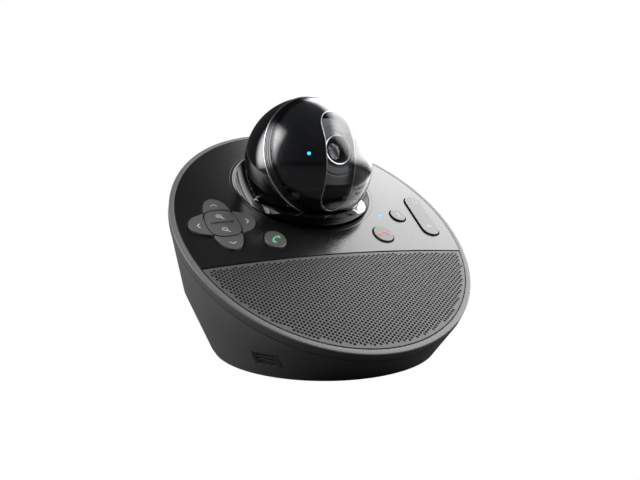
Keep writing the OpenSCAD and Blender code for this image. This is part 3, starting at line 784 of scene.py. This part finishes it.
class OBJECT_OT_dish(bpy.types.Operator):
    """Make the scooped dish in the deck, its lip, and the head's foot"""
    bl_idname = "camera_base.dish"
    bl_label = "Dish and foot"

    def execute(self, context):
        centre = DECK @ Matrix.Translation((0, BALL_ON_DECK.y, 0))
        up = BALL_ON_DECK.z / MM
        r = 41.5
        edge = degrees(asin((up - 0.25) / r))
        lip_r = r * cos(radians(edge))
        bowl = [(x, up + z) for x, z in arc(r, -edge, -90, 40)]
        bowl[-1] = (0, up - r)
        edge_ring = [(lip_r + 2.0, -1.9), (lip_r + 2.0, 0.02), (lip_r + 1.9, 0.06), (lip_r + 0.3, 0.06),
                     (lip_r + 0.08, -0.04), (lip_r + 0.08, -1.9), (lip_r + 2.0, -1.9)]
        piece("Dish_edge", turned(edge_ring, centre, 144), "base", deck_gloss(), (), 40)
        profile = [(lip_r + 0.08, -0.05)] + bowl
        bm = turned(profile, centre, 144)
        floor = Vector((0, 0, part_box("head_foot")[0][2]))
        cut_off(bm, floor, (0, 0, -1))
        rim = [e for e in bm.edges if e.is_boundary and all(abs(v.co.z - floor.z) < 1e-6 for v in e.verts)]
        bmesh.ops.contextual_create(bm, geom=rim)
        for f in bm.faces:
            if f.normal.dot(centre.to_3x3() @ Vector((0, 0, 1))) < -0.3:
                f.normal_flip()
        self.face_ball(bm)
        made = piece("Seat_dish", bm, "base", head_gloss(), ("seat_dish",), 30)
        walled(made, 1.2)
        self.foot()
        return {"FINISHED"}

    def face_ball(self, bm):
        bmesh.ops.recalc_face_normals(bm, faces=bm.faces)
        lowest = min(bm.faces, key=lambda f: f.calc_center_median().z)
        if lowest.normal.z < 0:
            bmesh.ops.reverse_faces(bm, faces=bm.faces)

    def foot(self):
        low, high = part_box("head_foot")
        base, ball = low[2] / MM, BALL.z / MM
        outer, bulge, cup, rim = 31.0, 40.6, 35.8, 74.3
        start = degrees(acos((ball - base) / bulge))
        end = degrees(asin(outer / bulge))
        side = [(bulge * sin(radians(start + (end - start) * i / 16)),
                 ball - bulge * cos(radians(start + (end - start) * i / 16))) for i in range(17)]
        deck = 62.3
        first = degrees(acos((ball - deck) / cup))
        last = degrees(acos((ball - rim) / cup))
        inside = [(cup * sin(radians(last + (first - last) * i / 14)),
                   ball - cup * cos(radians(last + (first - last) * i / 14))) for i in range(15)]
        profile = [(3.6, base), (side[0][0] - 0.6, base)] + side + \
            [(outer, rim - 0.4), (outer - 0.12, rim - 0.1), (outer - 0.4, rim), (inside[0][0] + 0.3, rim)] + \
            inside + [(6.0, deck), (6.0, high[2] / MM), (3.6, high[2] / MM), (3.6, base)]
        bm = turned(profile, Matrix.Translation((0, BALL.y, 0)), 128)
        normal = Matrix.Rotation(radians(16), 3, "X") @ Vector((0, 0, 1))
        top = Vector((0, BALL.y, rim * MM))
        cut_off(bm, top, normal, clear=False)
        above = [v for v in bm.verts if (v.co - top).dot(normal) > 1e-6 and v.co.y < BALL.y
                 and (v.co.xy - BALL.xy).length > 10 * MM]
        bmesh.ops.delete(bm, geom=above, context="VERTS")
        gaps = [e for e in bm.edges if e.is_boundary]
        bmesh.ops.contextual_create(bm, geom=gaps)
        bmesh.ops.recalc_face_normals(bm, faces=bm.faces)
        made = piece("Head_foot", bm, "base", head_gloss(), ("head_foot",), 30)
        rounded(made, 0.3 * MM, 2, 50)


# ---------------------------------------------------------------- the head

WINDOW_STRAIGHT = 16.5


class OBJECT_OT_head(bpy.types.Operator):
    """Make the head's rear shell, ribbed trim ring, clear dome and dark mask"""
    bl_idname = "camera_head.head"
    bl_label = "Head shell"

    def execute(self, context):
        s = context.scene.head_sizes
        shell, dome, back = s.shell / MM, s.dome / MM, s.back / MM
        self.rear_shell(shell, back)
        self.trim_ring(dome, back, s.ring / MM, s.ribs)
        edge = degrees(asin((back + 0.1) / dome))
        inner = degrees(asin((back + 0.1) / (dome - 1.5)))
        profile = arc(dome, edge, 90, 48)[:-1] + [(0, dome), (0, dome - 1.5)] + \
            arc(dome - 1.5, 90, inner, 48)[1:]
        profile.append(profile[0])
        piece("Clear_dome", turned(profile, FACE, 144), "head", clear_plastic("Dome clear"),
              ("dome",), 40)
        self.mask(s, back)
        return {"FINISHED"}

    def rear_shell(self, shell, back):
        """The ball behind the ring, open at the front and over the turntable below."""
        edge = degrees(asin((back - 0.12) / shell))
        profile = [(sqrt((shell - 1.6) ** 2 - (back - 0.12) ** 2), back - 0.12)] + \
            [(sqrt(shell ** 2 - (back - 0.12) ** 2) - 0.25, back - 0.12)] + arc(shell, edge - 0.4, -90, 60)[:-1]
        profile.append((0, -shell))
        bm = turned(profile, FACE, 144)
        cut = BALL + Vector((0, 0, -sqrt((shell * MM) ** 2 - (16 * MM) ** 2)))
        cut_off(bm, cut, (0, 0, -1))
        bmesh.ops.recalc_face_normals(bm, faces=bm.faces)
        behind = max(bm.faces, key=lambda f: f.calc_center_median().y)
        if behind.normal.y < 0:
            bmesh.ops.reverse_faces(bm, faces=bm.faces)
        made = piece("Rear_shell", bm, "head", head_gloss(), ("rear_shell",), 30)
        walled(made, 1.6)

    def trim_ring(self, dome, back, depth, ribs):
        """Fine steps that climb the dome's edge: a bright one at the back, then dark chrome."""
        pitch = depth / ribs
        self.ribs("Trim_ring", dome, [back], pitch, 0.45, bright_metal(), ("trim_ring",))
        dark = finish("Dark chrome", (0.085, 0.085, 0.09), 0.16, metal=1.0, grain=6000, depth=0, dust=0)
        self.ribs("Trim_ribs", dome, [back + i * pitch for i in range(1, ribs)], pitch, 0.22, dark, ())

    def ribs(self, name, dome, starts, pitch, proud, material, stands_for):
        outside = []
        for c in starts:
            r = sqrt(dome ** 2 - (c + pitch * 0.5) ** 2) + proud
            outside += [(r - 0.3, c), (r - 0.06, c + pitch * 0.12), (r + 0.02, c + pitch * 0.35),
                        (r - 0.05, c + pitch * 0.62), (r - 0.34, c + pitch * 0.82)]
        ends = (starts[-1] + pitch, starts[0])
        inside = [(sqrt((dome + 0.03) ** 2 - c * c), c)
                  for c in (ends[0], ends[0] * 0.66 + ends[1] * 0.34, ends[0] * 0.33 + ends[1] * 0.67, ends[1])]
        profile = outside + inside
        profile.append(profile[0])
        piece(name, turned(profile, FACE, 180), "head", material, stands_for, 50)

    def mask(self, s, back):
        """Dark inner shell with a round-ended window, finished with a fine bright edge."""
        outer = s.mask / MM
        edge = degrees(asin((back + 0.1) / outer))
        profile = arc(outer, edge, 90, 60)
        profile[-1] = (0, outer)
        bm = turned(profile, FACE, 160)
        made = piece("Window_mask", bm, "head", self.mask_finish(), ("window_mask",), 60)
        self.point_out(made)
        pierced(made, [self.window_cutter(s.window)], self.mask_finish())
        walled(made, 1.2)
        self.window_edge(s, outer)

    def point_out(self, made):
        bm = bmesh.new()
        bm.from_mesh(made.data)
        middle = HEAD.translation
        if sum((f.calc_center_median() - middle).dot(f.normal) for f in bm.faces) < 0:
            bmesh.ops.reverse_faces(bm, faces=bm.faces)
        bm.to_mesh(made.data)
        bm.free()

    def mask_finish(self):
        c = bpy.context.scene.camera_colours
        return finish("Mask smoke", tuple(v * 1.6 for v in c.head), 0.2, depth=0, dust=0, tone=0.1)

    def window_cutter(self, half):
        bm = bmesh.new()
        bmesh.ops.create_circle(bm, segments=64, radius=half, cap_ends=True)
        for v in bm.verts:
            v.co.y += WINDOW_STRAIGHT * MM if v.co.y > 0 else -WINDOW_STRAIGHT * MM
        grown = bmesh.ops.extrude_face_region(bm, geom=list(bm.faces))["geom"]
        bmesh.ops.translate(bm, vec=(0, 0, 60 * MM), verts=verts_of(grown))
        bmesh.ops.recalc_face_normals(bm, faces=bm.faces)
        bmesh.ops.transform(bm, matrix=looking(0), verts=bm.verts)
        return loose("Cutter", bm)

    def window_edge(self, s, outer):
        half, straight = s.window / MM, WINDOW_STRAIGHT
        flat = [(half * cos(radians(a)), straight + half * sin(radians(a))) for a in range(0, 181, 6)]
        flat += [(-half, y) for y in range(14, -15, -2)]
        flat += [(half * cos(radians(a)), -straight + half * sin(radians(a))) for a in range(180, 361, 6)]
        flat += [(half, y) for y in range(-14, 15, 2)]
        bm = bmesh.new()
        swept(bm, [(x, y, sqrt(outer ** 2 - x * x - y * y)) for x, y in flat], 0.16, 2, closed=True)
        bmesh.ops.transform(bm, matrix=looking(0), verts=bm.verts)
        piece("Window_edge", bm, "head", bright_metal(), (), 60)


class OBJECT_OT_lens(bpy.types.Operator):
    """Make the lens carrier, lens plate, bright ring, barrel and glasses"""
    bl_idname = "camera_head.lens"
    bl_label = "Lens"

    def execute(self, context):
        s = context.scene.head_sizes
        ring = s.lens_ring / MM
        self.carrier(s.carrier / MM)
        plate = [(6.56, 27.3), (12, 27.3), (12, 28.5), (11.85, 28.72), (11.5, 28.8), (ring + 1.9, 28.8),
                 (ring + 1.75, 28.7), (ring + 0.9, 28.7), (ring + 0.7, 28.8), (6.56, 28.8), (6.56, 27.3)]
        c = context.scene.camera_colours
        plate_finish = finish("Plate satin", tuple(v * 0.8 for v in c.carrier), 0.34, grain=6000,
                              depth=0.000008, dust=0)
        piece("Lens_plate", turned(plate, LENS, 96), "lens", plate_finish, ("lens_plate",),
              30)
        bright = [(6.6, 28.8), (ring, 28.8), (ring, 29.6), (ring - 0.12, 29.9), (ring - 0.4, 30.08),
                  (ring - 0.7, 30.0), (6.75, 29.7), (6.6, 29.4), (6.6, 28.8)]
        piece("Lens_ring", turned(bright, LENS, 96), "lens", bright_metal(), ("lens_ring",),
              40)
        steps = [(4.6, 9), (6.5, 9), (6.5, 29.2), (6.3, 29.3), (6.1, 29.2)]
        for i in range(4):
            steps += [(6.0 - 0.34 * i, 29.0 - 0.75 * i), (6.0 - 0.34 * i, 28.5 - 0.75 * i)]
        steps += [(4.6, 26.0), (4.6, 9)]
        piece("Lens_barrel", turned(steps, LENS, 96), "lens",
              finish("Barrel black", (0.012, 0.012, 0.013), 0.32, grain=5000, depth=0.000005, dust=0),
              ("lens_barrel",), 30)
        front = [(0, 26.0), (4.45, 26.0), (4.5, 26.1)] + \
            [(x, z + 14.2) for x, z in arc(13.4, degrees(acos(4.5 / 13.4)), 90, 16)][1:-1] + [(0, 27.6)]
        piece("Front_lens", turned(front, LENS, 72), "lens", coated_glass(),
              ("front_lens",), 40)
        self.iris()
        return {"FINISHED"}

    def iris(self):
        """Dark stepped rings, and a small warm painted glint behind the front glass: the sensor glass glows
        faintly red.
        """
        rings = [(4.5, 24.5), (3.4, 24.2), (3.3, 23.2), (2.3, 22.8), (2.2, 21.5), (1.3, 21.0), (1.3, 18.6),
                 (4.5, 18.6), (4.5, 24.5)]
        piece("Iris_rings", turned(rings, LENS, 64), "lens",
              finish("Iris grey", (0.05, 0.05, 0.052), 0.3, grain=5000, depth=0.000004, dust=0), (),
              30)
        # The sensor glass glows faintly red: a painted glint, not a lamp and not a reflection
        glint = [(0, 19.0), (1.25, 19.0), (1.25, 19.3), (0.8, 19.7), (0, 19.9)]
        piece("Sensor_glass", turned(glint, LENS, 32), "lens",
              finish("Sensor red", (0.25, 0.03, 0.03), 0.12, coat=1.0, dust=0, depth=0,
                     glow=(0.8, 0.1, 0.08), glow_power=0.12), (), 30)

    def carrier(self, r):
        """Curved shield on two arms; its front face is a band of a sphere."""
        bm = bmesh.new()
        bmesh.ops.create_uvsphere(bm, u_segments=144, v_segments=96, radius=r * MM)
        side, edge = 22.4, radians(33)
        for spot, out in (((side, 0, 0), (1, 0, 0)), ((-side, 0, 0), (-1, 0, 0)),
                          ((0, 0, 0), (0, cos(edge), -sin(edge))), ((0, 0, 0), (0, -cos(edge), -sin(edge))),
                          ((0, 0, 6), (0, 0, -1))):
            cut_off(bm, Vector(spot) * MM, out)
        bmesh.ops.recalc_face_normals(bm, faces=bm.faces)
        if sum(f.calc_center_median().dot(f.normal) for f in bm.faces) < 0:
            bmesh.ops.reverse_faces(bm, faces=bm.faces)
        hole = [v for v in bm.verts if v.co.xy.length < 11.9 * MM]
        bmesh.ops.delete(bm, geom=hole, context="VERTS")
        bmesh.ops.transform(bm, matrix=LENS, verts=bm.verts)
        made = piece("Carrier_shield", bm, "lens", carrier_satin(), (), 60)
        walled(made, 1.3)
        frame["nodes"]["lens_carrier"].data.materials.clear()
        frame["nodes"]["lens_carrier"].data.materials.append(carrier_satin())


class OBJECT_OT_lights(bpy.types.Operator):
    """Make the two small status lights"""
    bl_idname = "camera_head.lights"
    bl_label = "Status lights"

    def execute(self, context):
        middle = sum((Vector(c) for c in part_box("status_light")), Vector()) / 2
        out = (middle - BALL).normalized()
        place = Matrix.Translation(BALL) @ out.to_track_quat("Z", "Y").to_matrix().to_4x4()
        pip = [(0, 31.0), (0.88, 31.0), (0.88, 32.9), (0.7, 33.1), (0.4, 33.17), (0, 33.2)]
        piece("Status_light", turned(pip, place, 24), "head", lit_blue(), ("status_light",), 40)
        low, high = (Vector(c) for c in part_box("deck_light"))
        spot = DECK.inverted() @ ((low + high) / 2)
        at = on_deck(spot.x / MM, spot.y / MM)
        pip = [(0, -4.3), (0.68, -4.3), (0.68, 0.1), (0.5, 0.25), (0, 0.32)]
        piece("Deck_light", turned(pip, at, 24), "base", lit_blue(), ("deck_light",), 40)
        return {"FINISHED"}


# ---------------------------------------------------------------- parts taken over from the CAD

class OBJECT_OT_inner_parts(bpy.types.Operator):
    """Give the CAD parts that stay as they are their own finishes"""
    bl_idname = "camera_base.inner_parts"
    bl_label = "Inner parts"

    def execute(self, context):
        steel = finish("Drawn steel", (0.42, 0.42, 0.43), 0.3, metal=1.0, grain=1800, depth=0.00001, dust=0.01)
        board = finish("Board green", (0.02, 0.10, 0.045), 0.35, grain=700, depth=0.00002, tone=0.35, coat=0.4)
        gear = finish("Gear white", (0.62, 0.60, 0.52), 0.45, grain=2600, depth=0.00001)
        rubber = finish("Foot rubber", (0.018, 0.018, 0.018), 0.85, grain=1500, depth=0.00006, dust=0.05)
        brass = finish("Contact brass", (0.62, 0.42, 0.16), 0.28, metal=1.0, grain=2400, depth=0.00001)
        black = finish("Inner black", (0.012, 0.012, 0.012), 0.5, grain=2600, depth=0.00002)
        vent = finish("Vent satin", (0.055, 0.055, 0.058), 0.4, grain=3000, depth=0.00002)
        by_slot = {"steel": steel, "board_green": board, "gear_white": gear, "rubber": rubber,
                   "contact_brass": brass, "inner_black": black, "shell_charcoal": charcoal(),
                   "clear": coated_glass(),
                   "key_grey": key_satin(), "head_gloss": head_gloss(), "carrier_grey": carrier_satin(),
                   "ring_bright": bright_metal(), "blue_light": lit_blue(), "deck_gloss": deck_gloss(),
                   "rim_satin": rim_satin(), "grille_metal": grille_paint()}
        for part in frame["record"]["subparts"]:
            material = vent if part["node"] == "mic_vent" else by_slot[part["material_slot"]]
            data = frame["nodes"][part["node"]].data
            data.materials.clear()
            data.materials.append(material)
        return {"FINISHED"}


# ---------------------------------------------------------------- stage

RIGHT_GLOW = 3.9
LEFT_GLOW = 5.2
ROOM_GLOW = 0.035


class OBJECT_OT_stage(bpy.types.Operator):
    """Set the pale floor, the soft studio lights, the surroundings and the camera"""
    bl_idname = "camera_stage.stage"
    bl_label = "Stage"

    def execute(self, context):
        bm = bmesh.new()
        bmesh.ops.create_grid(bm, x_segments=4, y_segments=4, size=4)
        bmesh.ops.translate(bm, vec=(0, 0, -0.0001), verts=bm.verts)
        floor = loose("Floor", bm)
        floor.data.materials.append(self.pale_floor())
        self.surroundings(context.scene)
        self.softbox("Right_box", 84, 33, 1.70, 0.95, 0.6, RIGHT_GLOW, (0.28, 0.24))
        self.softbox("Left_box", -77, 21, 0.62, 0.80, 0.6, LEFT_GLOW, (0.35, 0.3))
        context.scene.view_settings.view_transform = "Standard"
        self.camera(context.scene)
        return {"FINISHED"}

    def pale_floor(self):
        """White to the camera, and dim to everything that it would light or show up in."""
        m = bpy.data.materials.new("Pale floor")
        m.use_nodes = True
        dull, white = m.node_tree.nodes["Principled BSDF"], m.node_tree.nodes.new("ShaderNodeEmission")
        put(dull, {"Base Color": (0.06, 0.06, 0.06, 1), "Roughness": 0.9, "Specular IOR Level": 0.0})
        by_ray(m.node_tree, "Is Camera Ray", dull, white, "Material Output")
        return m

    def surroundings(self, scene):
        """White behind the object for the camera, and a dim room for everything else."""
        world = bpy.data.worlds.new("Studio")
        scene.world = world
        world.use_nodes = True
        tree = world.node_tree
        dim, white = tree.nodes["Background"], tree.nodes.new("ShaderNodeBackground")
        put(dim, {"Color": (0.9, 0.95, 1, 1), "Strength": ROOM_GLOW})
        put(white, {"Color": (1, 1, 1, 1), "Strength": 1.0})
        by_ray(tree, "Is Camera Ray", dim, white, "World Output")

    def softbox(self, name, azimuth, elevation, wide, high, away, glow, fade):
        """An area light that faces the ball from azimuth (0 is behind, 90 is right) and elevation."""
        data = bpy.data.lights.new(name, "AREA")
        data.shape = "RECTANGLE"
        data.size, data.size_y, data.energy = wide, high, glow * 4 * wide * high
        way = Vector((sin(radians(azimuth)) * cos(radians(elevation)),
                      cos(radians(azimuth)) * cos(radians(elevation)), sin(radians(elevation))))
        light = bpy.data.objects.new(name, data)
        light.location = BALL + way * away
        light.rotation_euler = way.to_track_quat("Z", "Y").to_euler()
        bpy.context.scene.collection.objects.link(light)
        data.use_nodes = True
        n, link = data.node_tree.nodes.new, data.node_tree.links.new
        lamp = data.node_tree.nodes["Emission"]
        spot, split = n("ShaderNodeNewGeometry"), n("ShaderNodeSeparateXYZ")
        both = n("ShaderNodeMath")
        both.operation = "MULTIPLY"
        link(spot.outputs["Parametric"], split.inputs["Vector"])
        for i, axis in enumerate("XY"):
            from_edge, ramp = n("ShaderNodeMath"), n("ShaderNodeMapRange")
            from_edge.operation = "PINGPONG"
            from_edge.inputs[1].default_value = 0.5
            ramp.interpolation_type = "SMOOTHSTEP"
            ramp.inputs["From Max"].default_value = fade[i]
            link(split.outputs[axis], from_edge.inputs[0])
            link(from_edge.outputs[0], ramp.inputs["Value"])
            link(ramp.outputs["Result"], both.inputs[i])
        link(both.outputs[0], lamp.inputs["Strength"])

    def camera(self, scene):
        data = bpy.data.cameras.new("View")
        data.sensor_width = 36
        data.lens = 30.80
        data.shift_x = -0.00257
        data.shift_y = -0.01925
        right = Vector((0.90755, -0.41993, 0.0))
        back = Vector((-0.41798, -0.90333, 0.09629))
        up = back.cross(right)
        view = bpy.data.objects.new("View", data)
        turn = Matrix((right, up, back)).transposed().to_4x4()
        view.matrix_world = Matrix.Translation((-0.11919, -0.25878, 0.08746)) @ turn
        scene.collection.objects.link(view)
        scene.camera = view


# ---------------------------------------------------------------- panel and running

MAKERS = (
    ("camera_base.inner_parts", OBJECT_OT_inner_parts),
    ("camera_base.lower_shell", OBJECT_OT_lower_shell),
    ("camera_base.rim_ring", OBJECT_OT_rim_ring),
    ("camera_base.deck_panel", OBJECT_OT_deck_panel),
    ("camera_base.grille", OBJECT_OT_grille),
    ("camera_base.keys", OBJECT_OT_keys),
    ("camera_base.dish", OBJECT_OT_dish),
    ("camera_head.head", OBJECT_OT_head),
    ("camera_head.lens", OBJECT_OT_lens),
    ("camera_head.lights", OBJECT_OT_lights),
    ("camera_stage.stage", OBJECT_OT_stage),
)


class VIEW3D_PT_conference_camera(bpy.types.Panel):
    bl_label = "Conference camera"
    bl_idname = "VIEW3D_PT_conference_camera"
    bl_space_type = "VIEW_3D"
    bl_region_type = "UI"
    bl_category = "Camera"

    def draw(self, context):
        for name, _ in MAKERS:
            self.layout.operator(name)
        for group in (context.scene.base_sizes, context.scene.head_sizes, context.scene.camera_colours):
            box = self.layout.box()
            for prop in type(group).__annotations__:
                box.prop(group, prop)


CLASSES = (BaseSizes, HeadSizes, Colours) + tuple(c for _, c in MAKERS) + (VIEW3D_PT_conference_camera,)


def register():
    for cls in CLASSES:
        bpy.utils.register_class(cls)
    bpy.types.Scene.base_sizes = bpy.props.PointerProperty(type=BaseSizes)
    bpy.types.Scene.head_sizes = bpy.props.PointerProperty(type=HeadSizes)
    bpy.types.Scene.camera_colours = bpy.props.PointerProperty(type=Colours)


def unregister():
    del bpy.types.Scene.camera_colours
    del bpy.types.Scene.head_sizes
    del bpy.types.Scene.base_sizes
    for cls in reversed(CLASSES):
        bpy.utils.unregister_class(cls)


def main():
    register()
    for name, _ in MAKERS:
        family, step = name.split(".")
        getattr(getattr(bpy.ops, family), step)()


if __name__ == "__main__":
    main()
